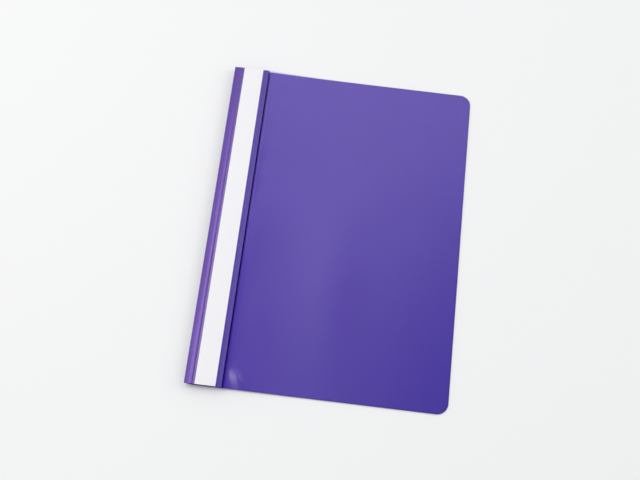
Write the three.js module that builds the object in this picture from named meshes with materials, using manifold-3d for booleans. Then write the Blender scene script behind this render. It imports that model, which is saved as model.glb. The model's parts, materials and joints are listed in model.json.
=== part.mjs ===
// A4 fastener folder (report file), lying closed on its back cover.
//
// One opaque film is creased twice down its left side: back cover, narrow spine panel, front flap.
// A clear film is welded to the top of the flap in two seams, which leaves a tunnel for a paper label,
// and runs on past a crease as the see-through front cover. Under the flap, a strip of film welded to
// the back cover holds a flat metal band. The band's two prongs come up through the strip and through a
// pressed bar, and lie folded inwards along the bar, ready for sheets punched at 80 mm.
//
// Millimetres. X runs across the folder from the spine to the free edge, Y up the spine, Z up from the
// table. The origin is under the middle of the folder.

import * as THREE from "three";
import { mergeVertices } from "three/addons/utils/BufferGeometryUtils.js";
import Module from "manifold-3d";

const wasm = await Module();
wasm.setup();

// Covers
const folderWidth = 230;
const folderHeight = 310;
const cornerRadius = 10;
const coverFilm = 0.2;
const clearFilm = 0.15;

// Spine and flap
const spineWidth = 7.7;
const spineTilt = THREE.MathUtils.degToRad(41);
const flapWidth = 33.4;
const creaseGap = 0.05;

// The front cover leaves the raised flap and comes down to the back cover over this distance
const coverFall = 110;
const coverRestGap = 0.1;

// Label and its tunnel
const labelWidth = 18.1;
const labelThickness = 0.15;
const labelFromSpine = 9.8;
const labelPlay = 0.06;
const tunnelSidePlay = 0.8;
const seamWidth = 1.6;
const seamRamp = 0.6;

// Prong fastener
const holeSpacing = 80;
const holeFromSheetEdge = 12;
const sheetToSpine = 1.3;
const prongWidth = 5;
const prongThickness = 0.3;
const prongLength = 38;
const prongTipRadius = 2.4;
const layerGap = 0.05;
const stripWidth = 24;
const stripEndInset = 4;
const stripChannelPlay = 0.6;
const stripSlotPlay = 0.5;
const barLength = 106;
const barWidth = 11;
const barEndRadius = 5;
const barWeb = 0.4;
const barRimWall = 0.5;
const barRimHeight = 1.3;
const barFootRadius = 0.5;
const barSlotInward = 5;
const barSlotOutward = 1.2;
const barSlotPlay = 0.6;
const lipLength = 7;
const lipThickness = 0.3;
const lipFromMiddle = 12;
const lipProngPlay = 0.25;

// Steps in a quarter round and in the front cover's curve, and how far a cutter runs past what it cuts
const roundSteps = 12;
const fallSteps = 12;
const cutMargin = 1;

// Places that follow from the sizes above, all measured in the folder's own axes
const leftEdge = -folderWidth / 2;
const rightEdge = folderWidth / 2;
const spineCrease = new THREE.Vector2(leftEdge + spineWidth * Math.cos(spineTilt), 0);
const flapCrease = new THREE.Vector2(leftEdge, spineWidth * Math.sin(spineTilt));
const flapTop = flapCrease.y;
const flapEdge = leftEdge + flapWidth;
const labelLeft = leftEdge + labelFromSpine;
const labelRight = labelLeft + labelWidth;
const fastenerX = spineCrease.x + sheetToSpine + holeFromSheetEdge;
const bandBottom = coverFilm + layerGap;
const bandTop = bandBottom + prongThickness;
const stripTop = bandTop + layerGap + coverFilm;
const barBottom = stripTop + layerGap;
const barWebTop = barBottom + barWeb;
const barTop = barBottom + barRimHeight;
const prongBottom = barWebTop + layerGap;
const prongTop = prongBottom + prongThickness;
const foldY = (holeSpacing + prongThickness) / 2;

const purple = new THREE.MeshStandardMaterial({ color: 0x6f56ad, roughness: 0.42, metalness: 0 });
const clear = new THREE.MeshStandardMaterial({
  color: 0xf2f2fb,
  roughness: 0.15,
  metalness: 0,
  transparent: true,
  opacity: 0.25,
});
const paper = new THREE.MeshStandardMaterial({ color: 0xf3f2f6, roughness: 0.85, metalness: 0 });
const steel = new THREE.MeshStandardMaterial({ color: 0xc9cacd, roughness: 0.3, metalness: 1 });

// Turns a section drawn in X and Z, extruded along its own depth, so that the depth runs down -Y.
const alongFolder = new THREE.Matrix4().makeBasis(
  new THREE.Vector3(1, 0, 0),
  new THREE.Vector3(0, 0, 1),
  new THREE.Vector3(0, -1, 0),
);

// Turns a section drawn in Y and Z so that its depth runs along +X.
const acrossFolder = new THREE.Matrix4().makeBasis(
  new THREE.Vector3(0, 1, 0),
  new THREE.Vector3(0, 0, 1),
  new THREE.Vector3(1, 0, 0),
);

function polygon(points) {
  return new THREE.Shape(points.map(([a, b]) => new THREE.Vector2(a, b)));
}

// A rectangle whose four corner radii are given as right bottom, right top, left top, left bottom.
function roundedRectangle(x0, y0, x1, y1, [rb, rt, lt, lb]) {
  const shape = new THREE.Shape();
  const quarter = Math.PI / 2;
  const corner = (x, y, r, from) => {
    if (r > 0) shape.absarc(x, y, r, from, from + quarter, false);
    else shape.lineTo(x, y);
  };
  shape.moveTo(x0 + lb, y0);
  shape.lineTo(x1 - rb, y0);
  corner(x1 - rb, y0 + rb, rb, -quarter);
  corner(x1 - rt, y1 - rt, rt, 0);
  corner(x0 + lt, y1 - lt, lt, quarter);
  corner(x0 + lb, y0 + lb, lb, 2 * quarter);
  return shape;
}

function extrude(shape, depth) {
  return new THREE.ExtrudeGeometry(shape, { depth, bevelEnabled: false, curveSegments: roundSteps });
}

// A solid from a section in X and Z that runs the given length, centred on Y = 0.
function runAlong(shape, length) {
  return extrude(shape, length).applyMatrix4(alongFolder).translate(0, length / 2, 0);
}

// A solid from a section in Y and Z that runs from x0 to x1.
function runAcross(shape, x0, x1) {
  return extrude(shape, x1 - x0).applyMatrix4(acrossFolder).translate(x0, 0, 0);
}

// A solid from a plan in X and Y that stands from z0 to z1.
function standUp(shape, z0, z1) {
  return extrude(shape, z1 - z0).translate(0, 0, z0);
}

function block(x0, x1, y0, y1, z0, z1) {
  const geometry = new THREE.BoxGeometry(x1 - x0, y1 - y0, z1 - z0);
  return geometry.translate((x0 + x1) / 2, (y0 + y1) / 2, (z0 + z1) / 2);
}

function solidOf(geometry) {
  const bare = geometry.clone();
  bare.deleteAttribute("normal");
  bare.deleteAttribute("uv");
  const merged = mergeVertices(bare, 1e-4);
  return new wasm.Manifold(
    new wasm.Mesh({
      numProp: 3,
      vertProperties: merged.attributes.position.array,
      triVerts: new Uint32Array(merged.index.array),
    }),
  );
}

function geometryOf(solid) {
  const mesh = solid.getMesh();
  const geometry = new THREE.BufferGeometry();
  geometry.setAttribute("position", new THREE.BufferAttribute(new Float32Array(mesh.vertProperties), 3));
  geometry.setIndex(new THREE.BufferAttribute(new Uint32Array(mesh.triVerts), 1));
  geometry.computeVertexNormals();
  return geometry;
}

function piece(name, geometry, material) {
  const mesh = new THREE.Mesh(geometry, material);
  mesh.name = name;
  return mesh;
}

// The section of a flat panel of creased film. Its outer face runs from start to end, and its thickness
// lies to the left of that direction. At a crease the end is mitred, so that two panels meet on the line
// that halves the angle inside the fold.
function panelSection(start, end, thickness, { startFold = Math.PI, endFold = Math.PI, startGap = 0, endGap = 0 }) {
  const along = end.clone().sub(start).normalize();
  const inward = new THREE.Vector2(-along.y, along.x).multiplyScalar(thickness);
  const mitre = (fold) => thickness / Math.tan(fold / 2);
  const at = (origin, distance) => origin.clone().addScaledVector(along, distance);
  return new THREE.Shape([
    at(start, startGap),
    at(end, -endGap),
    at(end, -endGap - mitre(endFold)).add(inward),
    at(start, startGap + mitre(startFold)).add(inward),
  ]);
}

// The outline that both covers are cut to, in plan: square at the spine and round at the free corners.
function coverOutline() {
  const half = folderHeight / 2;
  return roundedRectangle(leftEdge, -half, rightEdge, half, [cornerRadius, cornerRadius, 0, 0]);
}

// Runs a cover's section the length of the folder and cuts it to the covers' outline.
function coverFrom(section) {
  const sheet = solidOf(runAlong(section, folderHeight + 2 * cutMargin));
  const outline = solidOf(standUp(coverOutline(), -cutMargin, flapTop + cutMargin));
  return geometryOf(sheet.intersect(outline));
}

function backCover() {
  const past = new THREE.Vector2(rightEdge + cutMargin, 0);
  const section = panelSection(spineCrease, past, coverFilm, {
    startFold: Math.PI - spineTilt,
    startGap: creaseGap,
  });
  return piece("back_cover", coverFrom(section), purple);
}

function spinePanel() {
  const section = panelSection(flapCrease, spineCrease, coverFilm, {
    startFold: spineTilt,
    endFold: Math.PI - spineTilt,
    startGap: creaseGap,
  });
  return piece("spine_panel", runAlong(section, folderHeight), purple);
}

function frontFlap() {
  const edge = new THREE.Vector2(flapEdge, flapTop);
  const section = panelSection(edge, flapCrease, coverFilm, { endFold: spineTilt });
  return piece("front_flap", runAlong(section, folderHeight), purple);
}

// Clear film over the flap: flat on the flap at both seams, raised between them to let the label slide.
const seamBottom = flapTop + layerGap / 2;
const seamTop = seamBottom + clearFilm;
const tunnelBottom = flapTop + labelThickness + 2 * labelPlay;
const tunnelTop = tunnelBottom + clearFilm;
const tunnelLeft = labelLeft - tunnelSidePlay;
const tunnelRight = labelRight + tunnelSidePlay;

function labelPocket() {
  const left = tunnelLeft - seamRamp;
  const right = tunnelRight + seamRamp;
  const section = polygon([
    [left - seamWidth, seamBottom],
    [left, seamBottom],
    [tunnelLeft, tunnelBottom],
    [tunnelRight, tunnelBottom],
    [right, seamBottom],
    [flapEdge, seamBottom],
    [flapEdge, seamTop],
    [right, seamTop],
    [tunnelRight, tunnelTop],
    [tunnelLeft, tunnelTop],
    [left, seamTop],
    [left - seamWidth, seamTop],
  ]);
  return piece("label_pocket", runAlong(section, folderHeight), clear);
}

function labelInsert() {
  const half = folderHeight / 2;
  const bottom = flapTop + labelPlay;
  const geometry = block(labelLeft, labelRight, -half, half, bottom, bottom + labelThickness);
  return piece("label_insert", geometry, paper);
}

// The clear cover starts at its crease beside the flap and comes down in a curve to lie on the back cover.
function frontCover() {
  const start = flapEdge + creaseGap;
  const restTop = coverFilm + coverRestGap + clearFilm;
  const top = [];
  for (let step = 0; step <= fallSteps; step++) {
    const along = step / fallSteps;
    top.push([start + coverFall * along, restTop + (seamTop - restTop) * (1 - along) ** 3]);
  }
  top.push([rightEdge + cutMargin, restTop]);
  const bottom = top.map(([x, z]) => [x, z - clearFilm]).reverse();
  return piece("front_cover", coverFrom(polygon([...top, ...bottom])), clear);
}

// Film strip welded to the back cover, with a raised channel over the metal band and a slot at each prong.
function fastenerStrip() {
  const edge = stripWidth / 2;
  const channel = prongWidth / 2 + stripChannelPlay;
  const flangeBottom = coverFilm + layerGap / 2;
  const flangeTop = flangeBottom + coverFilm;
  const ramp = stripTop - flangeTop;
  const section = polygon([
    [fastenerX - edge, flangeBottom],
    [fastenerX - channel - ramp, flangeBottom],
    [fastenerX - channel, stripTop - coverFilm],
    [fastenerX + channel, stripTop - coverFilm],
    [fastenerX + channel + ramp, flangeBottom],
    [fastenerX + edge, flangeBottom],
    [fastenerX + edge, flangeTop],
    [fastenerX + channel + ramp, flangeTop],
    [fastenerX + channel, stripTop],
    [fastenerX - channel, stripTop],
    [fastenerX - channel - ramp, flangeTop],
    [fastenerX - edge, flangeTop],
  ]);
  const slotHalf = prongWidth / 2 + stripSlotPlay;
  let strip = solidOf(runAlong(section, folderHeight - 2 * stripEndInset));
  for (const side of [-1, 1]) {
    const middle = side * (holeSpacing / 2);
    const reach = prongThickness / 2 + stripSlotPlay;
    const slot = block(fastenerX - slotHalf, fastenerX + slotHalf, middle - reach, middle + reach, 0, stripTop + cutMargin);
    strip = strip.subtract(solidOf(slot));
  }
  return piece("fastener_strip", geometryOf(strip), purple);
}

// Metal band under the strip, turned up at both ends as far as the fold of each prong.
function fastenerBand() {
  const inner = foldY - prongThickness;
  const section = polygon([
    [-foldY, bandBottom],
    [foldY, bandBottom],
    [foldY, prongTop - creaseGap],
    [inner, prongBottom - creaseGap],
    [inner, bandTop],
    [-inner, bandTop],
    [-inner, prongBottom - creaseGap],
    [-foldY, prongTop - creaseGap],
  ]);
  const half = prongWidth / 2;
  return piece("fastener_band", runAcross(section, fastenerX - half, fastenerX + half), steel);
}

// One prong, folded flat towards the middle of the bar. side is 1 for the upper one and -1 for the lower.
function prong(name, side) {
  const half = prongWidth / 2;
  const tip = foldY - prongLength;
  const section = polygon([
    [side * foldY, prongTop],
    [side * (tip - cutMargin), prongTop],
    [side * (tip - cutMargin), prongBottom],
    [side * (foldY - prongThickness), prongBottom],
  ]);
  const strap = solidOf(runAcross(section, fastenerX - half - cutMargin, fastenerX + half + cutMargin));
  const ends = [side * tip, side * (foldY + cutMargin)].sort((a, b) => a - b);
  const radii = side > 0 ? [prongTipRadius, 0, 0, prongTipRadius] : [0, prongTipRadius, prongTipRadius, 0];
  const plan = roundedRectangle(fastenerX - half, ends[0], fastenerX + half, ends[1], radii);
  return piece(name, geometryOf(strap.intersect(solidOf(standUp(plan, 0, flapTop)))), steel);
}

// Pressed bar: a shallow tray with a rim all round, a slot for each prong, and four lips that the prongs
// are tucked between.
function coverBar() {
  const halfWidth = barWidth / 2;
  const halfLength = barLength / 2;
  const outline = (inset, radius) =>
    roundedRectangle(
      fastenerX - halfWidth + inset,
      -halfLength + inset,
      fastenerX + halfWidth - inset,
      halfLength - inset,
      Array(4).fill(radius - inset),
    );
  const foot = solidOf(standUp(outline(barFootRadius / 2, barEndRadius), barBottom, barBottom + barFootRadius / 2));
  const body = solidOf(standUp(outline(0, barEndRadius), barBottom + barFootRadius / 2, barTop));
  const tray = solidOf(standUp(outline(barRimWall, barEndRadius), barWebTop, barTop + cutMargin));
  let bar = foot.add(body).subtract(tray);
  const slotHalf = prongWidth / 2 + barSlotPlay;
  for (const side of [-1, 1]) {
    const y0 = side * (foldY - barSlotInward);
    const y1 = side * (foldY + barSlotOutward);
    const plan = roundedRectangle(
      fastenerX - slotHalf,
      Math.min(y0, y1),
      fastenerX + slotHalf,
      Math.max(y0, y1),
      Array(4).fill(barFootRadius),
    );
    bar = bar.subtract(solidOf(standUp(plan, 0, barTop + cutMargin)));
    for (const across of [-1, 1]) {
      const root = fastenerX + across * (halfWidth - barRimWall / 2);
      const tip = fastenerX + across * (prongWidth / 2 + lipProngPlay);
      const middle = side * lipFromMiddle;
      const lip = block(
        Math.min(root, tip),
        Math.max(root, tip),
        middle - lipLength / 2,
        middle + lipLength / 2,
        barTop - lipThickness,
        barTop,
      );
      bar = bar.add(solidOf(lip));
    }
  }
  return piece("cover_bar", geometryOf(bar), steel);
}

const folder = new THREE.Group();
folder.name = "fastener_folder";

const backAndFastener = new THREE.Group();
backAndFastener.add(backCover(), fastenerStrip(), fastenerBand());
backAndFastener.add(prong("prong_upper", 1), prong("prong_lower", -1), coverBar());

const front = new THREE.Group();
front.add(spinePanel(), frontFlap(), labelPocket(), labelInsert(), frontCover());

folder.add(backAndFastener, front);

export default folder;
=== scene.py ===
# %% [markdown]
# A slim report folder lies closed on a white table. It is made of two films: a violet one that is the
# back cover, the spine and a narrow flap, and a clear one that is welded to the flap and goes on as the
# front cover. A strip of paper sits between the two, and a metal prong fastener hides under the flap.
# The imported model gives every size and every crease, so it is loaded first.

# %% Load the frame
import json
import math

import bpy
import numpy as np
from mathutils import Matrix, Vector


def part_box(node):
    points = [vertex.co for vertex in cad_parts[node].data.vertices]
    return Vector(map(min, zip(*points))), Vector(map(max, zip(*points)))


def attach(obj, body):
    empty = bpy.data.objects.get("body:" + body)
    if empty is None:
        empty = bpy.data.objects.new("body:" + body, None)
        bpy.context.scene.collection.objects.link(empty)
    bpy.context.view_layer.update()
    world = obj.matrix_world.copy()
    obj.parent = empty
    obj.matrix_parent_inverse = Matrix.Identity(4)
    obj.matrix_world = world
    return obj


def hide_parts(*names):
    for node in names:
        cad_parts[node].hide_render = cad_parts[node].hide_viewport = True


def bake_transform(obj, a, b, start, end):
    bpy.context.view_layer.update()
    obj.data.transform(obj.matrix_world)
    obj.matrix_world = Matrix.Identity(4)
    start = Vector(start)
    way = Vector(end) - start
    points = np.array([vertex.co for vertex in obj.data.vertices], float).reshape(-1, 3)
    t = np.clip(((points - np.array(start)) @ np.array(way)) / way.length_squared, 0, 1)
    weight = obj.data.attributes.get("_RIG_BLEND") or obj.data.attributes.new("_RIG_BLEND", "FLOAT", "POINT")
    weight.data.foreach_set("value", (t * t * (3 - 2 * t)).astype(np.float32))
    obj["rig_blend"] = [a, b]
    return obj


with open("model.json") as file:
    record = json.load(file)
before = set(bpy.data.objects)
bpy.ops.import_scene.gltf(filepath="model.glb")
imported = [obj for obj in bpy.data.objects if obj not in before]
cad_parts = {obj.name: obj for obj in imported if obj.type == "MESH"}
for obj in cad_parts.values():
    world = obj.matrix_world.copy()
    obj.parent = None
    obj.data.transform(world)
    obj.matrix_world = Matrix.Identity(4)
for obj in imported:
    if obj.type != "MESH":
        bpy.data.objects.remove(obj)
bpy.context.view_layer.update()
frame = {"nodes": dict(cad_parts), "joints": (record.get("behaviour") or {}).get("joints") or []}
joints = {joint["name"]: joint for joint in frame["joints"]}
nodes = frame["nodes"]

# %% [markdown]
# All lengths below are in metres, as Blender has them, so a millimetre gets a name. The places of the
# creases come from the joints, and the edges of the films from the boxes of the CAD nodes. Nothing is
# measured twice.

# %% Sizes that the frame gives
MM = 0.001
spine_line = Vector(joints["spine_crease"]["pos_m"])
fold_line = Vector(joints["flap_open"]["pos_m"])
cover_line = Vector(joints["cover_fold"]["pos_m"])
right_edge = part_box("back_cover")[1].x
half_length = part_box("back_cover")[1].y
violet_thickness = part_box("back_cover")[1].z
flap_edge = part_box("front_flap")[1].x
flap_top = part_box("front_flap")[1].z
pocket_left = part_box("label_pocket")[0].x
pocket_bottom, pocket_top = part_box("label_pocket")[0].z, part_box("label_pocket")[1].z
label_left, label_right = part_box("label_insert")[0].x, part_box("label_insert")[1].x
clear_thickness = cover_line.z - pocket_bottom
cover_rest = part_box("front_cover")[0].z + clear_thickness / 2
print("Films in mm:", round(violet_thickness / MM, 2), "violet and", round(clear_thickness / MM, 2), "clear")

# %% [markdown]
# The camera stands where the photograph was taken from, about 0.85 m above the table and in front of
# the folder, looking down 71 degrees. It was held a little crooked, which turns the whole picture by 5
# degrees. Depth of field stays off.

# %% Camera
CAMERA_PLACE = Vector((-5.1, -308.5, 851.4)) * MM
CAMERA_DOWN = math.radians(70.62)
CAMERA_TURN = math.radians(1.50)
CAMERA_ROLL = math.radians(5.43)
LENS_MM = 55.5
SENSOR_MM = 36.0

camera_data = bpy.data.cameras.new("camera")
camera_data.lens = LENS_MM
camera_data.sensor_width = SENSOR_MM
camera = bpy.data.objects.new("camera", camera_data)
camera.matrix_world = (
    Matrix.Translation(CAMERA_PLACE)
    @ Matrix.Rotation(CAMERA_TURN, 4, "Z")
    @ Matrix.Rotation(math.pi / 2 - CAMERA_DOWN, 4, "X")
    @ Matrix.Rotation(CAMERA_ROLL, 4, "Z")
)
bpy.context.scene.collection.objects.link(camera)
bpy.context.scene.camera = camera
print("Camera at", [round(c, 3) for c in camera.location], "with a lens of", LENS_MM, "mm")

# %% [markdown]
# Both films are bent sheets of even thickness. They could be planes with a solidify modifier, but the
# creases need exact radii, so each film is drawn as its section instead: a line of points across the
# folder, round the creases, that is then carried along Y. The first helper rounds the corners of such a
# line, and the second adds points, because a stretch without points can't bend.


# %% The line of a section
def rounded_line(corners, radii, steps=8):
    """Points of a line through the corners, each inner corner rounded to its radius."""
    points = [np.array(corners[0], float)]
    for before, corner, after, radius in zip(corners, corners[1:], corners[2:], radii):
        before, corner, after = (np.array(p, float) for p in (before, corner, after))
        to_before = (before - corner) / np.linalg.norm(before - corner)
        to_after = (after - corner) / np.linalg.norm(after - corner)
        half_angle = math.acos(float(np.clip(to_before @ to_after, -1, 1))) / 2
        middle = (to_before + to_after) / np.linalg.norm(to_before + to_after)
        centre = corner + middle * radius / math.sin(half_angle)
        start = corner + to_before * radius / math.tan(half_angle) - centre
        sweep = math.pi - 2 * half_angle
        side = 1.0 if to_before[0] * to_after[1] - to_before[1] * to_after[0] < 0 else -1.0
        for step in range(steps + 1):
            turn = side * sweep * step / steps
            cos, sin = math.cos(turn), math.sin(turn)
            turned = np.array([cos * start[0] - sin * start[1], sin * start[0] + cos * start[1]])
            points.append(centre + turned)
    points.append(np.array(corners[-1], float))
    return points


def filled(points, longest):
    """The same line with points added, so that no stretch is longer than longest."""
    result = [points[0]]
    for start, end in zip(points, points[1:]):
        pieces = max(1, math.ceil(np.linalg.norm(end - start) / longest))
        result += [start + (end - start) * step / pieces for step in range(1, pieces + 1)]
    return result


print("A right angle rounded to 1 mm has", len(rounded_line([(0, 0), (0, 2), (2, 2)], [1])), "points")

# %% [markdown]
# A grid of faces on both sides and a wall round the edge close the sheet, so that it is one solid body
# with all its faces pointing out. The grid has four straight sides. Where the sheet has a rounded
# corner, its columns get shorter instead. Every vertex also remembers which side of the film it is on.


# %% A sheet from its section
def sheet_faces(columns, rows):
    """Faces of two grids back to back, and of the wall that joins them round the edge."""
    count = rows + 1
    lower = columns * count
    faces = []
    for i in range(columns - 1):
        for j in range(rows):
            a, b = i * count + j, (i + 1) * count + j
            faces.append((a, b, b + 1, a + 1))
            faces.append((lower + a + 1, lower + b + 1, lower + b, lower + a))
    edge = [i * count for i in range(columns)]
    edge += [(columns - 1) * count + j for j in range(1, count)]
    edge += [i * count + rows for i in range(columns - 2, -1, -1)]
    edge += [j for j in range(rows - 1, 0, -1)]
    return faces + [(b, a, lower + a, lower + b) for a, b in zip(edge, edge[1:] + edge[:1])]


SHARP_FROM = math.radians(50)


def sheet_mesh(name, line, thickness, half_extent, rows, lift=None, rim=0.0):
    """A closed sheet whose middle follows the line (x, z) and runs along Y as far as half_extent(x) says.

    Its first side is the one on the left hand of someone who walks along the line with Z up. rim is the
    width of the first and the last row, as a share of the half extent, where these are narrower.
    """
    line = np.array(line)
    along = np.gradient(line, axis=0)
    along /= np.linalg.norm(along, axis=1)[:, None]
    across = np.stack([-along[:, 1], along[:, 0]], 1)
    share = np.linspace(-1, 1, rows + 1)
    if rim:
        share[1:-1] = np.linspace(rim - 1, 1 - rim, rows - 1)
    x = np.repeat(line[:, 0:1], rows + 1, 1)
    z = np.repeat(line[:, 1:2], rows + 1, 1)
    y = share[None, :] * np.array([half_extent(px) for px in line[:, 0]])[:, None]
    if lift is not None:
        z = z + lift(x, y, z)
    sides = []
    for offset in (thickness / 2, -thickness / 2):
        side = np.stack([x + offset * across[:, 0:1], y, z + offset * across[:, 1:2]], -1)
        sides.append(side.reshape(-1, 3))
    mesh = bpy.data.meshes.new(name)
    mesh.from_pydata([tuple(p) for p in np.concatenate(sides)], [], sheet_faces(len(line), rows))
    mesh.update()
    first_side = mesh.attributes.new("first_side", "FLOAT", "POINT")
    first_side.data.foreach_set("value", np.repeat([1.0, 0.0], x.size).astype(np.float32))
    mesh.shade_smooth()
    mesh.set_sharp_from_angle(angle=SHARP_FROM)
    return mesh


print("A sheet of 3 columns and 2 rows has", len(sheet_faces(3, 2)), "faces")

# %% [markdown]
# A crease is darker than the film beside it, and a weld is duller. Such places could be painted on an
# image, but a number on every vertex is simpler: it is worked out from the place of the vertex at rest,
# it stays with the film when the folder is opened, and a material can read it.


# %% Marks on the vertices
def mark(mesh, name, amount):
    """Stores amount(x, y, z), from 0 to 1, on every vertex, for a material to read."""
    places = np.empty(3 * len(mesh.vertices))
    mesh.vertices.foreach_get("co", places)
    x, y, z = places.reshape(-1, 3).T
    attribute = mesh.attributes.new(name, "FLOAT", "POINT")
    attribute.data.foreach_set("value", np.clip(amount(x, y, z), 0, 1).astype(np.float32))


def add_piece(name, mesh):
    piece = bpy.data.objects.new(name, mesh)
    bpy.context.scene.collection.objects.link(piece)
    marks = [attribute.name for attribute in mesh.attributes if attribute.data_type == "FLOAT"]
    print(name, "has", len(mesh.polygons), "faces and the marks", marks)
    return piece


# %% [markdown]
# The free corners of both covers are cut to the same 10 mm round. A column that ends inside the round is
# as much shorter as the circle says. Near the free edge the columns stand closer together, so that the
# round stays smooth.

# %% Rounded free corners
CORNER_RADIUS = 10 * MM
CORNER_STEPS = 14


def cover_extent(x):
    into_corner = min(max(x - (right_edge - CORNER_RADIUS), 0.0), CORNER_RADIUS)
    return half_length - CORNER_RADIUS + math.sqrt(CORNER_RADIUS**2 - into_corner**2)


def corner_columns(z):
    """Points of a level cover's line through its rounded corners, closer together towards the edge."""
    turns = np.linspace(0, math.pi / 2, CORNER_STEPS + 1)
    return [np.array([right_edge - CORNER_RADIUS * (1 - math.sin(t)), z]) for t in turns]


print("Half length at the free edge in mm:", round(cover_extent(right_edge) / MM, 1))

# %% [markdown]
# How high each cover lies is a function of the distance from the flap. The clear cover leaves the flap
# at its crease and comes down to the back cover in a long curve. The back cover follows it part of the
# way up, because new film is never quite flat. That shows at the top of the photograph, where the
# violet edge bends, and right beside the flap this edge droops again.

# %% Height of the covers
COVER_FALL = 110 * MM
FALL_POWER = 3
BACK_SHARE = 0.55
BULGE_AT_BOTTOM = 0.45
BULGE_START = -84.0 * MM
BULGE_TOP = -79.0 * MM
DROOP_HEIGHT = 0.20 * MM
DROOP_LENGTH = 3.5 * MM
DROOP_FADE = 40 * MM
fall_height = cover_line.z - clear_thickness / 2 - cover_rest


def smooth_step(t):
    t = np.clip(t, 0, 1)
    return t * t * (3 - 2 * t)


def cover_drop(x):
    """Height of the clear cover's middle over where it rests."""
    return fall_height * (1 - np.clip((x - cover_line.x) / COVER_FALL, 0, 1)) ** FALL_POWER


def towards_top(y):
    """0 at the bottom edge and 1 at the top edge."""
    return smooth_step((y / half_length + 1) / 2)


def back_bulge(x, y, _z):
    beside_flap = smooth_step((x - BULGE_START) / (BULGE_TOP - BULGE_START))
    rise = BACK_SHARE * cover_drop(x) * (BULGE_AT_BOTTOM + (1 - BULGE_AT_BOTTOM) * towards_top(y))
    at_top_edge = smooth_step((y - half_length + DROOP_LENGTH) / DROOP_LENGTH)
    return beside_flap * (rise - DROOP_HEIGHT * at_top_edge * np.exp(-(x - BULGE_TOP) / DROOP_FADE))


print("Bulge of the back cover in mm:", round(float(back_bulge(BULGE_TOP, half_length, 0)) / MM, 2))

# %% [markdown]
# The violet film is one sheet on the real folder, creased at the foot of the spine and at the flap. A
# piece here can bend between two bodies only, so the film is made in two pieces that meet in the middle
# of the spine panel, where both follow the spine. The outer face of the spine lies on the line from one
# joint to the other, so that it comes to lie flat on the table when the folder is opened. The lines need
# points mostly where they bend or bulge.

# %% Lines of the violet film
FOOT_RADIUS = 1.2 * MM
FOLD_RADIUS = 0.18 * MM
FOLD_STEPS = 14
FOOT_LEVEL = 2 * MM
BULGE_END = -70 * MM
FLAT_END = 100 * MM
half_film = violet_thickness / 2
fold_height = flap_top - half_film
spine_tilt = math.atan2(fold_line.z - spine_line.z, spine_line.x - fold_line.x)
up_spine = np.array([-math.cos(spine_tilt), math.sin(spine_tilt)])
spine_foot = np.array([spine_line.x, spine_line.z]) + half_film * np.array([up_spine[1], -up_spine[0]])
foot_corner = spine_foot + up_spine * (half_film - spine_foot[1]) / up_spine[1]
fold_corner = spine_foot + up_spine * (fold_height - spine_foot[1]) / up_spine[1]
spine_middle = (fold_corner + foot_corner) / 2

back_line = rounded_line([spine_middle, foot_corner, (spine_line.x + FOOT_LEVEL, half_film)], [FOOT_RADIUS])
foot_start, foot_end = back_line[-2], back_line[1]
back_line += filled([back_line[-1], np.array([BULGE_END, half_film])], 1 * MM)[1:]
back_line += filled([back_line[-1], np.array([FLAT_END, half_film])], 4 * MM)[1:]
back_line += corner_columns(half_film)
flap_line = rounded_line([spine_middle, fold_corner, (flap_edge, fold_height)], [FOLD_RADIUS], FOLD_STEPS)
fold_start, fold_end = flap_line[1], flap_line[-2]
flap_line = flap_line[:-1] + filled(flap_line[-2:], 0.5 * MM)[1:]
print("Tilt of the spine in degrees:", round(math.degrees(spine_tilt), 1))

# %% [markdown]
# The flap isn't quite flat. The weld of the clear film draws it up into a low ridge, and the band left
# of the ridge leans down towards the spine, most of all at the bottom. In the photograph this lean
# catches the light of the window as a long streak. So the flap gets it as a height, not as a bump.

# %% Relief of the flap
LEAN_TOP = 0.28 * MM
LEAN_BOTTOM = 0.60 * MM
LEAN_GROWS_FROM = -40 * MM
LEAN_GROWS_OVER = 95 * MM
RIDGE_WIDTH = 1.15 * MM
RIDGE_HEIGHT = 0.14 * MM


def weld_relief(x, y):
    share = np.clip((x - fold_line.x) / (pocket_left - fold_line.x), 0, 1)
    near_bottom = smooth_step((LEAN_GROWS_FROM - y) / LEAN_GROWS_OVER)
    lean = (share**2 - 1) * (LEAN_TOP + (LEAN_BOTTOM - LEAN_TOP) * near_bottom)
    return lean + RIDGE_HEIGHT * np.exp(-(((x - pocket_left) / RIDGE_WIDTH) ** 2))


def flap_lift(x, y, z):
    on_flap = smooth_step((z - spine_middle[1]) / (fold_height - spine_middle[1])) ** 2
    return on_flap * weld_relief(x, y)


print("Lean at the bottom end in mm:", round(float(weld_relief(fold_line.x, -half_length)) / MM, 2))

# %% [markdown]
# Now the two pieces are made. The flap gets two marks: where the clear film covers it, since it looks
# bluer there, with less of the outer face's painted sheen, and the narrow band of its fold, which is
# darker by painted shade.

# %% Violet film
FILM_ROWS = 104
UNDER_CLEAR = 0.6
FOLD_BAND = 0.8 * MM


# The band of the fold, where the violet film gets a painted shade.
def fold_shade_mark(x, _y, z):
    return np.exp(-(((x - fold_line.x) / FOLD_BAND) ** 4)) * (z > fold_line.z / 2)


back_mesh = sheet_mesh("back_film", back_line[::-1], violet_thickness, cover_extent, FILM_ROWS, back_bulge)
back_film = add_piece("back_film", back_mesh)
flap_mesh = sheet_mesh("flap_film", flap_line, violet_thickness, lambda x: half_length, FILM_ROWS, flap_lift)
# Under the clear film the outer face gets less of its painted sheen.
mark(flap_mesh, "under_clear", lambda x, y, z: UNDER_CLEAR * (x > label_left))
mark(flap_mesh, "fold", fold_shade_mark)
flap_film = add_piece("flap_film", flap_mesh)

# %% [markdown]
# The clear film starts left of the label with a narrow weld to the flap, is raised over the label, is
# welded again, and then has a pressed groove at the flap's edge where the cover folds. The weld presses
# the film down a little, so each one is a shallow dip in the line. Beyond the groove the cover falls
# away, with its points closest together where it falls fastest.

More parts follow.
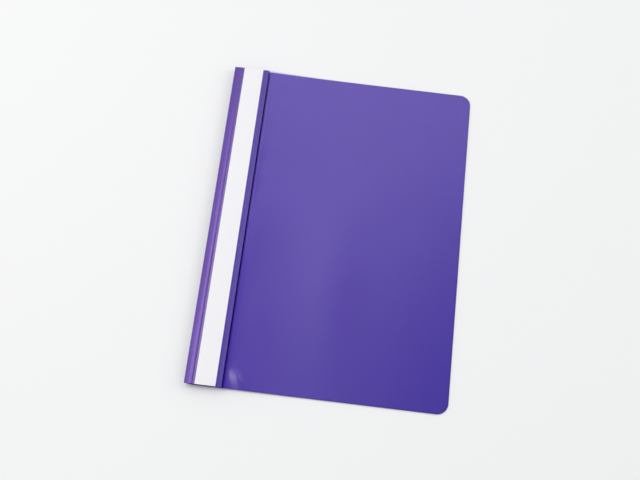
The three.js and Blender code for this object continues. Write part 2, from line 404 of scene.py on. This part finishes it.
# %% Line of the clear film
GROOVE_DEPTH = 0.30 * MM
GROOVE_WIDTH = 1.5 * MM
GROOVE_STEPS = 12
FALL_POINTS = 90
FALL_CROWDING = 1.35
WELD_DIP = 0.03 * MM
seam_middle = pocket_bottom + clear_thickness / 2
tunnel_middle = pocket_top - clear_thickness / 2
seam_end = label_right + 1.4 * MM
CLEAR_SECTION = (
    # an edge, the distance right of it in mm, and the height of the film's middle
    (pocket_left, 0.0, seam_middle),
    (pocket_left, 0.4, seam_middle - WELD_DIP),
    (pocket_left, 1.0, seam_middle - WELD_DIP),
    (pocket_left, 1.5, seam_middle),
    (label_left, -0.9, tunnel_middle),
    (label_right, 0.7, tunnel_middle),
    (seam_end, 0.0, seam_middle),
    (label_right, 2.4, seam_middle),
    (label_right, 2.9, seam_middle - WELD_DIP),
    (label_right, 3.3, seam_middle - WELD_DIP),
    (label_right, 3.8, seam_middle),
    (flap_edge, -0.2, seam_middle),
)

clear_points = [np.array((edge + right * MM, height)) for edge, right, height in CLEAR_SECTION]
clear_line = filled(clear_points, 0.6 * MM)
for step in range(GROOVE_STEPS + 1):
    x = flap_edge + GROOVE_WIDTH * step / GROOVE_STEPS
    groove = 0.5 - 0.5 * math.cos(2 * math.pi * step / GROOVE_STEPS)
    clear_line.append(np.array([x, cover_rest + cover_drop(x) - GROOVE_DEPTH * groove]))
fall_start = clear_line[-1][0]
for share in np.linspace(0, 1, FALL_POINTS)[1:] ** FALL_CROWDING:
    x = share * (FLAT_END - fall_start) + fall_start
    clear_line.append(np.array([x, cover_rest + cover_drop(x)]))
clear_line += corner_columns(cover_rest)
print("The clear film's line has", len(clear_line), "points")

# %% [markdown]
# A thin film that is welded along one side never lies smooth beside the weld. Its soft puckers are bumps
# in the height, mostly long and narrow, and each stands where the photograph has a light or a dark
# patch. The last one is a broad swell in the middle of the cover. A slow wave runs along the crease as
# well and dies away towards the free edge.

# %% Puckers of the clear film
WAVE_HEIGHT = 0.10 * MM
WAVE_LENGTH = 95 * MM
WAVE_SHIFT = 0.2
WAVE_FADE = 45 * MM
LIFT_RUN = 5 * MM
PUCKERS = (
    # x, y, length along the crease, width, turn in degrees, height, all in mm
    (-73, 92, 9, 5, 8, -0.35),
    (-74, 60, 12, 5, -6, -0.40),
    (-74, 34, 10, 6, 10, -0.35),
    (-73, -20, 26, 6, 0, 0.18),
    (-72, -80, 22, 7, 4, -0.18),
    (-68.5, -147.5, 9, 4.5, 34, 1.5),
    (2, -45, 75, 24, 0, 1.1),
)


def clear_lift(x, y, _z):
    wave = np.sin(2 * math.pi * (y / WAVE_LENGTH + WAVE_SHIFT))
    lift = WAVE_HEIGHT * wave * np.exp(-(((x - cover_line.x) / WAVE_FADE) ** 2))
    for px, py, length, width, turn, height in PUCKERS:
        dx, dy = x - px * MM, y - py * MM
        cos, sin = math.cos(math.radians(turn)), math.sin(math.radians(turn))
        across, along = cos * dx + sin * dy, cos * dy - sin * dx
        lift = lift + height * MM * np.exp(-((across / (width * MM)) ** 2) - (along / (length * MM)) ** 2)
    on_cover = smooth_step((x - cover_line.x - GROOVE_WIDTH) / LIFT_RUN)
    return lift * on_cover + (x < label_left) * weld_relief(x, y)


print("Highest pucker in mm:", max(height for *_, height in PUCKERS))

# %% [markdown]
# The crease of the clear cover is a dark line in the photograph, sharp beside the flap and wider and
# softer towards the bottom. It is painted shadow: the shadow of the flap's edge and of the gap beneath
# it, with a fading tail to the right. The welds are two thin duller lines, and beside the label the strip
# is darker, partly from two films in contact and partly painted shade. Each gets a mark that the
# material will read. The exponent of 4 makes a line with an even middle and quick edges.

# %% Marks of the crease and the welds
CREASE_CENTRE = 0.50 * MM
CREASE_TOP_WIDTH = 0.45 * MM
CREASE_GROWTH = 0.27 * MM
CREASE_SHADOW_DEPTH = 0.85
SHADOW_TAIL_DEPTH = 0.48
SHADOW_TAIL_START = 0.6 * MM
SHADOW_TAIL_LENGTH = 1.8 * MM
LEFT_WELD_FROM_EDGE = 1.0 * MM
LEFT_WELD_WIDTH = 0.5 * MM
RIGHT_WELD_FROM_LABEL = 3.0 * MM
RIGHT_WELD_WIDTH = 0.45 * MM
RIGHT_WELD_DEPTH = 0.75
BESIDE_LABEL_SHADE_DEPTH = 0.4
BESIDE_LABEL_RUN = 0.6 * MM


# Painted shadow: a dark line beside the flap's edge and a fading shadow tail to its right, wider towards the
# bottom.
def crease_shadow_mark(x, y, _z):
    from_top = 1 - towards_top(y)
    past_edge = x - flap_edge
    line = np.exp(-(((past_edge - CREASE_CENTRE) / (CREASE_TOP_WIDTH + CREASE_GROWTH * from_top)) ** 4))
    fade = np.exp(-np.clip(past_edge - SHADOW_TAIL_START, 0, None) / SHADOW_TAIL_LENGTH)
    return np.maximum(CREASE_SHADOW_DEPTH * line, SHADOW_TAIL_DEPTH * from_top * fade * (past_edge > 0))


def weld_and_shade_mark(x, y, _z):
    left = np.exp(-(((x - pocket_left - LEFT_WELD_FROM_EDGE) / LEFT_WELD_WIDTH) ** 4))
    left = left * (0.5 + 0.5 * (1 - towards_top(y)))
    right = np.exp(-(((x - label_right - RIGHT_WELD_FROM_LABEL) / RIGHT_WELD_WIDTH) ** 4))
    # Beside the label the strip up to the flap's edge is darkened: partly two films in contact, partly
    # painted shade of the crease.
    beside_label = smooth_step((x - seam_end + BESIDE_LABEL_RUN) / BESIDE_LABEL_RUN) * (x < flap_edge)
    return left + np.maximum(RIGHT_WELD_DEPTH * right, BESIDE_LABEL_SHADE_DEPTH * beside_label)


print("Crease mark at the flap's edge:", round(float(crease_shadow_mark(flap_edge, 0, 0)), 2))

# %% [markdown]
# Two more marks help to see a film that is almost invisible. A cut edge scatters light, so the rim of
# the cover is a faint darker line, also when the cover is folded back over the white table; along the
# edges of the closed folder this line is also painted shade of the thin contact shadow there. At the
# bottom corner the film has buckled. It stands off the violet one there and shines more than it does
# elsewhere.

# %% Marks of the rim and the buckle
RIM_AT_END = 0.3 * MM
RIM_AT_SIDE = 0.5 * MM
BUCKLE_PLACE = (-74.5 * MM, -144 * MM)
BUCKLE_WIDTH = 3.0 * MM
BUCKLE_LENGTH = 6.5 * MM


# Partly the cut edge of the film, partly painted shade of the contact shadow along the folder's edges.
def rim_and_shadow_mark(x, y, _z):
    extent = np.array([cover_extent(px) for px in x])
    at_end = np.abs(y) > extent - RIM_AT_END
    at_side = x > right_edge - RIM_AT_SIDE
    return (x > flap_edge) * np.maximum(at_end, at_side)


def buckle_mark(x, y, _z):
    dx, dy = x - BUCKLE_PLACE[0], y - BUCKLE_PLACE[1]
    across, along = (dx + dy) * math.sqrt(0.5), (dy - dx) * math.sqrt(0.5)
    patch = np.exp(-((across / BUCKLE_WIDTH) ** 2) - (along / BUCKLE_LENGTH) ** 2)
    return patch * (x > flap_edge + GROOVE_WIDTH)


print("The rim is", round(RIM_AT_END / MM, 1), "mm wide at the ends")

# %% [markdown]
# The clear film is made last. Its first and last rows are only as wide as the rim needs, because a mark
# on the vertices is never sharper than the grid.

# %% Clear film
CLEAR_ROWS = 155
RIM_ROW = 0.8 * MM

clear_mesh = sheet_mesh(
    "clear_film", clear_line, clear_thickness, cover_extent, CLEAR_ROWS, clear_lift, RIM_ROW / half_length
)
mark(clear_mesh, "rim", rim_and_shadow_mark)
mark(clear_mesh, "buckle", buckle_mark)
mark(clear_mesh, "crease", crease_shadow_mark)
mark(clear_mesh, "weld", weld_and_shade_mark)
clear_film = add_piece("clear_film", clear_mesh)

# %% [markdown]
# The fastener is one strip of thin steel. It lies flat under the slotted strip of film, comes up through
# a slot at each end and is folded back over the bar. The helper for the films makes it as well, since a
# strip of steel is a narrow sheet. Each prong is made with its bend, so that the bend can open, and the
# flat part between them stays with the back cover.

# %% Steel strip with two prongs
BEND_RADIUS = 0.35 * MM
BEND_STEPS = 6
PRONG_ROOT = 34 * MM
TIP_RADIUS = 2.4 * MM
TIP_STEPS = 9
PRONG_ROWS = 8
BAND_ROWS = 4
BAND_STRETCH = 10 * MM
STEEL_HALF = 0.15 * MM
prong_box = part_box("prong_upper")
band_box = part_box("fastener_band")
fastener_x = (prong_box[0].x + prong_box[1].x) / 2
prong_half = (prong_box[1].x - prong_box[0].x) / 2
prong_end, prong_fold = prong_box[0].y, prong_box[1].y
band_middle = band_box[0].z + STEEL_HALF
prong_middle = prong_box[1].z - STEEL_HALF
bend_corner = prong_fold - STEEL_HALF


def prong_extent(u):
    into_tip = min(max(prong_end + TIP_RADIUS - u, 0.0), TIP_RADIUS)
    return prong_half - TIP_RADIUS + math.sqrt(TIP_RADIUS**2 - into_tip**2)


def along_folder(mesh, side):
    """A strip is drawn along X and turned to run along the folder, side 1 upwards and -1 downwards."""
    mesh.transform(Matrix.Translation((fastener_x, 0, 0)) @ Matrix.Rotation(side * math.pi / 2, 4, "Z"))
    return mesh


def prong_mesh(name, side):
    corners = [
        (PRONG_ROOT, band_middle),
        (bend_corner, band_middle),
        (bend_corner, prong_middle),
        (prong_end + TIP_RADIUS, prong_middle),
    ]
    line = rounded_line(corners, [BEND_RADIUS] * 2, BEND_STEPS)
    for turn in np.linspace(0, math.pi / 2, TIP_STEPS + 1)[1:]:
        line.append(np.array([prong_end + TIP_RADIUS * (1 - math.sin(turn)), prong_middle]))
    return along_folder(sheet_mesh(name, line, 2 * STEEL_HALF, prong_extent, PRONG_ROWS), side)


upper_prong = add_piece("upper_prong", prong_mesh("upper_prong", 1))
lower_prong = add_piece("lower_prong", prong_mesh("lower_prong", -1))
band_ends = [np.array([-PRONG_ROOT, band_middle]), np.array([PRONG_ROOT, band_middle])]
band_line = filled(band_ends, BAND_STRETCH)
band_mesh = sheet_mesh("band", band_line, 2 * STEEL_HALF, lambda u: prong_half, BAND_ROWS)
band = add_piece("band", along_folder(band_mesh, 1))

# %% [markdown]
# Every piece now gets its body. A film that crosses a crease bends between two bodies: it follows the
# first one before a start point and the second one after an end point. Both points are the ends of the
# crease's rounded part. Without the blend the film would tear at the crease when the folder opens.

# %% Bodies and bends
COVER_BEND = 0.4 * MM
COVER_BEND_HALF = 0.6 * MM
for film, first, second, start, end in (
    (flap_film, "spine", "flap", fold_start, fold_end),
    (back_film, "back", "spine", foot_start, foot_end),
):
    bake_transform(film, first, second, Vector((start[0], 0, start[1])), Vector((end[0], 0, end[1])))
cover_step = Vector((COVER_BEND_HALF, 0, 0))
cover_centre = Vector((flap_edge + COVER_BEND, 0, cover_line.z))
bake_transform(clear_film, "flap", "cover", cover_centre - cover_step, cover_centre + cover_step)
bend_step = BEND_RADIUS * math.sqrt(0.5)
for piece, body, side in ((upper_prong, "upper_prong", 1), (lower_prong, "lower_prong", -1)):
    bend_start = Vector((fastener_x, side * (bend_corner + bend_step / 2), prong_middle - bend_step / 2))
    bend_end = Vector((fastener_x, side * (bend_corner - bend_step / 2), prong_middle + bend_step / 2))
    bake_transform(piece, "back", body, bend_start, bend_end)
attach(band, "back")
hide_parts("back_cover", "spine_panel")
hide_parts("front_flap")
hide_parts("label_pocket", "front_cover")
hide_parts("prong_upper")
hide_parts("prong_lower")
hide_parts("fastener_band")
print("The bend of a prong is", round(bend_step / MM, 2), "mm long in Y and in Z")

# %% [markdown]
# The label, the slotted strip and the bar keep their CAD shape. A bevel modifier takes the sharpness off
# their edges, which pressed and cut pieces never have.

# %% Soft edges on the CAD pieces
BEVEL_FROM = math.radians(35)
EDGES = (
    # node, width of the bevel in mm, segments
    ("label_insert", 0.03, 1),
    ("fastener_strip", 0.06, 2),
    ("cover_bar", 0.12, 3),
)
for node, width, segments in EDGES:
    bevel = nodes[node].modifiers.new("soft_edges", "BEVEL")
    bevel.width = width * MM
    bevel.segments = segments
    bevel.limit_method = "ANGLE"
    bevel.angle_limit = BEVEL_FROM
    print(node, "keeps", len(nodes[node].data.polygons), "faces before its bevel")

# %% [markdown]
# The materials are all made of nodes. A small helper adds a node, sets its constants on the sockets and
# joins its inputs, so that each material reads as a short list. The others are for what comes again and
# again: noise, a change of range, a sum, a mark from the vertices, a bump, a mix of two colours, and
# the step that gives a piece its material. Noise goes from 0 to 1 but seldom leaves its middle, so that
# is the part of it that gets used.

# %% Helpers for materials
NOISE_LOW, NOISE_HIGH = 0.3, 0.7


def new_material(name):
    material = bpy.data.materials.new(name)
    material.use_nodes = True
    material.node_tree.nodes.clear()
    return material


def add_node(owner, kind, settings=None, values=None, links=None):
    """One shader node. settings are its properties, values its constants, links its inputs from sockets."""
    node = owner.node_tree.nodes.new(kind)
    for key, value in (settings or {}).items():
        setattr(node, key, value)
    for key, value in (values or {}).items():
        node.inputs[key].default_value = value
    for key, socket in (links or {}).items():
        owner.node_tree.links.new(socket, node.inputs[key])
    return node


def noise(material, place, scale, detail=2.0, roughness=0.5):
    values = {"Scale": scale, "Detail": detail, "Roughness": roughness}
    return add_node(material, "ShaderNodeTexNoise", values=values, links={"Vector": place}).outputs["Fac"]


def remap(owner, socket, low, high, new_low, new_high, kind="LINEAR"):
    values = {"From Min": low, "From Max": high, "To Min": new_low, "To Max": new_high}
    settings = {"interpolation_type": kind}
    return add_node(owner, "ShaderNodeMapRange", settings, values, {"Value": socket}).outputs["Result"]


def calculate(owner, operation, first, second, clamp=False):
    settings = {"operation": operation, "use_clamp": clamp}
    return add_node(owner, "ShaderNodeMath", settings, links={0: first, 1: second}).outputs["Value"]


def marked(material, name):
    return add_node(material, "ShaderNodeAttribute", {"attribute_name": name}).outputs["Fac"]


def bump(material, height, distance, values=None, links=None):
    """A bump from a height socket. Its strength is a constant in values or a socket in links."""
    values, links = {"Distance": distance, **(values or {})}, {"Height": height, **(links or {})}
    return add_node(material, "ShaderNodeBump", values=values, links=links).outputs["Normal"]


def mixed(material, amount, constants, links=None, blend="MIX"):
    """A colour between the colours A (socket 6) and B (socket 7), each a constant or a link."""
    settings = {"data_type": "RGBA", "blend_type": blend}
    return add_node(material, "ShaderNodeMix", settings, constants, {0: amount, **(links or {})}).outputs[2]


def coat(piece, material):
    piece.data.materials.clear()
    piece.data.materials.append(material)
    print(piece.name, "is made of", material.name)


print("Materials in the file so far:", [material.name for material in bpy.data.materials])

# %% [markdown]
# Violet polypropylene film is coloured right through. A wide faint mottling keeps large areas from
# looking painted, and the fold is darker, a painted shade. The outer face of the film, which shows on
# the flap, is a little redder than the inner one, which shows on the back cover: this is painted sheen,
# the warmer light that the flap catches. Both films were drawn with their outer face first, so the mark
# on the vertices tells the two apart. Under the clear film the outer face looks more like the inner one,
# because there the film's own shine is missing, so it gets less of this painted sheen.

# %% Colour of the violet film
INNER_VIOLET = (0.0485, 0.0290, 0.350, 1.0)
# The outer face's redder colour is painted sheen, the warmer light that the flap catches.
OUTER_VIOLET_WITH_SHEEN = (0.099, 0.0530, 0.312, 1.0)
MOTTLE_SCALE = 22.0
MOTTLE = 0.03
FOLD_SHADE = 0.62


def outer_share(material):
    """1 on the film's outer face, less of it under the clear film, and 0 on the inner face."""
    first_side, under_clear = marked(material, "first_side"), marked(material, "under_clear")
    return calculate(material, "SUBTRACT", first_side, under_clear, clamp=True)


def violet_colour(material, place, outside):
    plain = mixed(material, outside, {6: INNER_VIOLET, 7: OUTER_VIOLET_WITH_SHEEN})
    clouds = noise(material, place, MOTTLE_SCALE, 3.0)
    cloudy = remap(material, clouds, NOISE_LOW, NOISE_HIGH, 1 - MOTTLE, 1 + MOTTLE)
    # Painted shade: the film is darker along its fold.
    fold_shade = remap(material, marked(material, "fold"), 0.0, 1.0, 1.0, FOLD_SHADE)
    shade = calculate(material, "MULTIPLY", cloudy, fold_shade)
    links = {"Vector": plain, "Scale": shade}
    return add_node(material, "ShaderNodeVectorMath", {"operation": "SCALE"}, links=links).outputs["Vector"]


print("Outer face, red to blue:", round(OUTER_VIOLET_WITH_SHEEN[0] / OUTER_VIOLET_WITH_SHEEN[2], 2))

# %% [markdown]
# The face of the film has a fine embossed grain and shallow waves from the rolls it was made on. Both
# are only a bump: the grain is a quarter of a millimetre across, far too fine for geometry, and it
# spreads reflections into a soft sheen. The waves are stronger on the outer face.

# %% Grain of the violet film
GRAIN_SCALE = 3800.0
GRAIN_STRENGTH = 0.35
GRAIN_HEIGHT = 0.03 * MM
WAVES_SCALE = 170.0
WAVES_HEIGHT = 0.16 * MM
INNER_WAVES = 0.3


def violet_grain(material, place, outside):
    strength = remap(material, outside, 0.0, 1.0, INNER_WAVES, 1.0)
    rolled = noise(material, place, WAVES_SCALE, 3.0)
    waves = bump(material, rolled, WAVES_HEIGHT, links={"Strength": strength})
    grain = noise(material, place, GRAIN_SCALE)
    return bump(material, grain, GRAIN_HEIGHT, {"Strength": GRAIN_STRENGTH}, {"Normal": waves})


print("Grain in mm:", round(1000 / GRAIN_SCALE, 2), "and waves in mm:", round(1000 / WAVES_SCALE, 1))

# %% [markdown]
# The light that the film reflects is tinted, because part of it goes into the film and comes back out.
# The cover's violet shines more than the flap's. A share that is the same all over a piece has to stand
# on the shader's own socket, so there are two materials from one function.

# %% Violet film on its pieces
SHEEN = (0.73, 0.47, 1.0, 1.0)
COVER_SHINE = 1.1
FLAP_SHINE = 0.6
FILM_IOR = 1.49
INNER_ROUGHNESS = 0.30
OUTER_ROUGHNESS = 0.27


def violet_material(name, shine):
    material = new_material(name)
    place = add_node(material, "ShaderNodeTexCoord").outputs["Object"]
    outside = outer_share(material)
    shader = add_node(
        material,
        "ShaderNodeBsdfPrincipled",
        values={"IOR": FILM_IOR, "Specular Tint": SHEEN, "Specular IOR Level": shine},
        links={
            "Base Color": violet_colour(material, place, outside),
            "Roughness": remap(material, outside, 0.0, 1.0, INNER_ROUGHNESS, OUTER_ROUGHNESS),
            "Normal": violet_grain(material, place, outside),
        },
    )
    add_node(material, "ShaderNodeOutputMaterial", links={"Surface": shader.outputs["BSDF"]})
    return material


cover_violet = violet_material("violet_cover", COVER_SHINE)
flap_violet = violet_material("violet_flap", FLAP_SHINE)
coat(back_film, cover_violet)
coat(flap_film, flap_violet)
coat(nodes["fastener_strip"], cover_violet)

# %% [markdown]
# Clear film lets the light straight through and only adds its own reflection, so it is a transparent
# shader mixed with a glossy one. The share of the glossy one is the Fresnel factor: small from above and
# large at a slant. The film is so thin that the bending of light can be left out. At the crease the
# gloss is taken away, as part of the painted shadow there, and the buckle shines more.

# %% Shine of the clear film
CLEAR_SHINE = 0.025
BUCKLE_SHINE = 0.075
SLANT_SHINE = 0.9
SLANT_POWER = 5.0
DULL_FROM = 0.8
clear = new_material("clear_film")
facing = add_node(clear, "ShaderNodeLayerWeight", values={"Blend": 0.5}).outputs["Facing"]
slant = add_node(clear, "ShaderNodeMath", {"operation": "POWER"}, {1: SLANT_POWER}, {0: facing})
least_shine = remap(clear, marked(clear, "buckle"), 0.0, 1.0, CLEAR_SHINE, BUCKLE_SHINE)
clear_shine = add_node(
    clear,
    "ShaderNodeMapRange",
    values={"To Max": SLANT_SHINE},
    links={"Value": slant.outputs["Value"], "To Min": least_shine},
).outputs["Result"]
crease = marked(clear, "crease")
gloss_share = calculate(clear, "MULTIPLY", clear_shine, remap(clear, crease, 0.0, DULL_FROM, 1.0, 0.0))
print("The film reflects", CLEAR_SHINE, "from above and", SLANT_SHINE, "at a slant")

# %% [markdown]
# What is seen through the film is tinted by its marks: violet at the crease, a painted shadow of the
# flap's edge, and a little grey at the welds and the rim, which also carry painted shade beside the label
# and along the edges. Each tint multiplies the one before.

# %% Tint of the clear film
PLAIN_TINT = (0.992, 0.994, 1.0, 1.0)
CREASE_SHADOW_TINT = (0.52, 0.34, 1.0, 1.0)
WELD_AND_SHADE_TINT = (0.87, 0.86, 0.91, 1.0)
RIM_AND_SHADOW_TINT = (0.80, 0.78, 0.86, 1.0)
film_tint = mixed(clear, crease, {6: PLAIN_TINT, 7: CREASE_SHADOW_TINT})
film_tint = mixed(clear, marked(clear, "weld"), {7: WELD_AND_SHADE_TINT}, {6: film_tint}, "MULTIPLY")
film_tint = mixed(clear, marked(clear, "rim"), {7: RIM_AND_SHADOW_TINT}, {6: film_tint}, "MULTIPLY")
see_through = add_node(clear, "ShaderNodeBsdfTransparent", links={"Color": film_tint})
print("Through the crease goes this share of red, green and blue:", CREASE_SHADOW_TINT[:3])

# %% [markdown]
# The gloss itself is soft, because the face of the film is finely grained, and faintly violet, because
# it hides the violet film only in part. A bump gives it the grain. Then the two shaders are mixed.

# %% Clear film on its piece
GLOSS_COLOUR = (0.92, 0.80, 1.0, 1.0)
GLOSS_ROUGHNESS = 0.24
CLEAR_GRAIN_SCALE = 900.0
CLEAR_GRAIN_STRENGTH = 0.25
CLEAR_GRAIN_HEIGHT = 0.02 * MM
clear_place = add_node(clear, "ShaderNodeTexCoord").outputs["Object"]
clear_grain = noise(clear, clear_place, CLEAR_GRAIN_SCALE)
clear_gloss = add_node(
    clear,
    "ShaderNodeBsdfAnisotropic",
    values={"Color": GLOSS_COLOUR, "Roughness": GLOSS_ROUGHNESS},
    links={"Normal": bump(clear, clear_grain, CLEAR_GRAIN_HEIGHT, {"Strength": CLEAR_GRAIN_STRENGTH})},
)
clear_mix = add_node(
    clear,
    "ShaderNodeMixShader",
    links={0: gloss_share, 1: see_through.outputs["BSDF"], 2: clear_gloss.outputs["BSDF"]},
)
add_node(clear, "ShaderNodeOutputMaterial", links={"Surface": clear_mix.outputs["Shader"]})
coat(clear_film, clear)

# %% [markdown]
# The label is plain white paper: matt, nearly white, with the faint cloudiness of its fibres. A colour
# ramp turns the noise into two whites that lie close together.

# %% Paper
PAPER_DARK = (0.880, 0.880, 0.852, 1.0)
PAPER_LIGHT = (0.940, 0.940, 0.912, 1.0)
PAPER_ROUGHNESS = 0.85
FIBRE_SCALE = 1500.0
paper = new_material("label_paper")
paper_place = add_node(paper, "ShaderNodeTexCoord").outputs["Object"]
fibres = noise(paper, paper_place, FIBRE_SCALE, detail=4.0, roughness=0.6)
paper_ramp = add_node(paper, "ShaderNodeValToRGB", links={"Fac": fibres})
paper_ramp.color_ramp.elements[0].color = PAPER_DARK
paper_ramp.color_ramp.elements[1].color = PAPER_LIGHT
paper_shader = add_node(
    paper,
    "ShaderNodeBsdfPrincipled",
    values={"Roughness": PAPER_ROUGHNESS},
    links={"Base Color": paper_ramp.outputs["Color"]},
)
add_node(paper, "ShaderNodeOutputMaterial", links={"Surface": paper_shader.outputs["BSDF"]})
coat(nodes["label_insert"], paper)

# %% [markdown]
# The fastener is nickel-plated steel. The strip was rolled lengthwise, which leaves fine scratches along
# Y: a noise that is stretched a hundredfold that way drives the roughness and a weak bump.

# %% Plated steel
STEEL_COLOUR = (0.60, 0.59, 0.58, 1.0)
STEEL_SMOOTH, STEEL_ROUGH = 0.24, 0.36
STRETCH = 0.01
SCRATCH_SCALE = 9000.0
SCRATCH_STRENGTH = 0.2
SCRATCH_HEIGHT = 0.01 * MM
steel = new_material("plated_steel")
steel_place = add_node(steel, "ShaderNodeTexCoord").outputs["Object"]
stretched = add_node(
    steel, "ShaderNodeMapping", values={"Scale": (1.0, STRETCH, 1.0)}, links={"Vector": steel_place}
).outputs["Vector"]
scratches = noise(steel, stretched, SCRATCH_SCALE, 3.0)
steel_shader = add_node(
    steel,
    "ShaderNodeBsdfPrincipled",
    values={"Base Color": STEEL_COLOUR, "Metallic": 1.0},
    links={
        "Roughness": remap(steel, scratches, NOISE_LOW, NOISE_HIGH, STEEL_SMOOTH, STEEL_ROUGH),
        "Normal": bump(steel, scratches, SCRATCH_HEIGHT, {"Strength": SCRATCH_STRENGTH}),
    },
)
add_node(steel, "ShaderNodeOutputMaterial", links={"Surface": steel_shader.outputs["BSDF"]})
for piece in (upper_prong, lower_prong, band, nodes["cover_bar"]):
    coat(piece, steel)

# %% [markdown]
# The table is a large plain white plane, and it isn't part of the folder. It is large enough that no
# horizon shows in low views. When the flap is opened, its label pocket comes to lie under it, so the
# table is half a millimetre lower than the folder's back.

# %% Table
TABLE_HALF = 15.0
TABLE_HEIGHT = -0.45 * MM
TABLE_WHITE = (0.88, 0.88, 0.877, 1.0)
CORNERS = ((-1, -1), (1, -1), (1, 1), (-1, 1))
table_mesh = bpy.data.meshes.new("table")
table_corners = [(TABLE_HALF * x, TABLE_HALF * y, TABLE_HEIGHT) for x, y in CORNERS]
table_mesh.from_pydata(table_corners, [], [(0, 1, 2, 3)])
table = add_piece("table", table_mesh)
table_material = new_material("table_white")
table_values = {"Base Color": TABLE_WHITE, "Roughness": 0.7}
table_shader = add_node(table_material, "ShaderNodeBsdfPrincipled", values=table_values)
add_node(table_material, "ShaderNodeOutputMaterial", links={"Surface": table_shader.outputs["BSDF"]})
table.data.materials.append(table_material)

# %% [markdown]
# The light is that of a white studio: a bright surround that is strongest high up behind the folder and
# weakest low down in front. Overhead, a little to the right, it is dark, as an unlit ceiling is. The
# folder mirrors this dark patch, and so the violet looks deep instead of washed out. A picture of a
# studio would do as well, but two smooth steps of an angle are easier to set: each goes by the angle
# between the direction of the light and a fixed direction.

# %% Surround
DARKEST_SKY = Vector((0.36, 0.04, 1.0))
DARK_EDGES = (0.893, 0.955)
SKY_BRIGHT = 1.03
SKY_DARK = 0.0
BRIGHT_SIDE = Vector((0.0, 0.6, 0.8))
BRIGHT_EDGES = (-0.1, 1.0)
FRONT_SHARE = 0.36
BACK_GAIN = 1.22
SKY_COLOUR = (0.98, 0.985, 1.0, 1.0)
scene = bpy.context.scene
world = bpy.data.worlds.new("studio")
world.use_nodes = True
direction = add_node(world, "ShaderNodeTexCoord").outputs["Generated"]


def step_towards(aim, edges, low, high):
    """Goes smoothly from low to high where the cosine of the angle to aim goes from edge to edge."""
    settings, values = {"operation": "DOT_PRODUCT"}, {1: aim.normalized()}
    cosine = add_node(world, "ShaderNodeVectorMath", settings, values, {0: direction}).outputs["Value"]
    return remap(world, cosine, *edges, low, high, "SMOOTHSTEP")


overhead = step_towards(DARKEST_SKY, DARK_EDGES, SKY_BRIGHT, SKY_DARK)
front_to_back = step_towards(BRIGHT_SIDE, BRIGHT_EDGES, FRONT_SHARE, BACK_GAIN)
background = world.node_tree.nodes["Background"]
background.inputs["Color"].default_value = SKY_COLOUR
sky_strength = calculate(world, "MULTIPLY", overhead, front_to_back)
world.node_tree.links.new(sky_strength, background.inputs["Strength"])
scene.world = world
print("The surround has", len(world.node_tree.nodes), "nodes")

# %% [markdown]
# Two windows give the light its direction. An oblong one, high up at the left, makes the streak on the
# leaning band of the flap and the highlight on the buckle. A large one, far off at the right and low,
# throws the soft shadow beside the spine. Both face the folder. The picture is shown without any film
# look, so that white stays as it was lit.


# %% Windows
def soft_lamp(name, place, size, power):
    lamp_data = bpy.data.lights.new(name, "AREA")
    lamp_data.shape = "RECTANGLE"
    lamp_data.size, lamp_data.size_y = size
    lamp_data.energy = power
    lamp = bpy.data.objects.new(name, lamp_data)
    lamp.location = place
    lamp.rotation_euler = (-Vector(place)).to_track_quat("-Z", "Y").to_euler()
    scene.collection.objects.link(lamp)


soft_lamp("left_window", place=(-0.92, 0.36, 1.6), size=(0.95, 0.45), power=8.9)
soft_lamp("right_window", place=(3.0, 0.8, 1.15), size=(1.4, 1.4), power=23.0)
scene.view_settings.view_transform = "Standard"
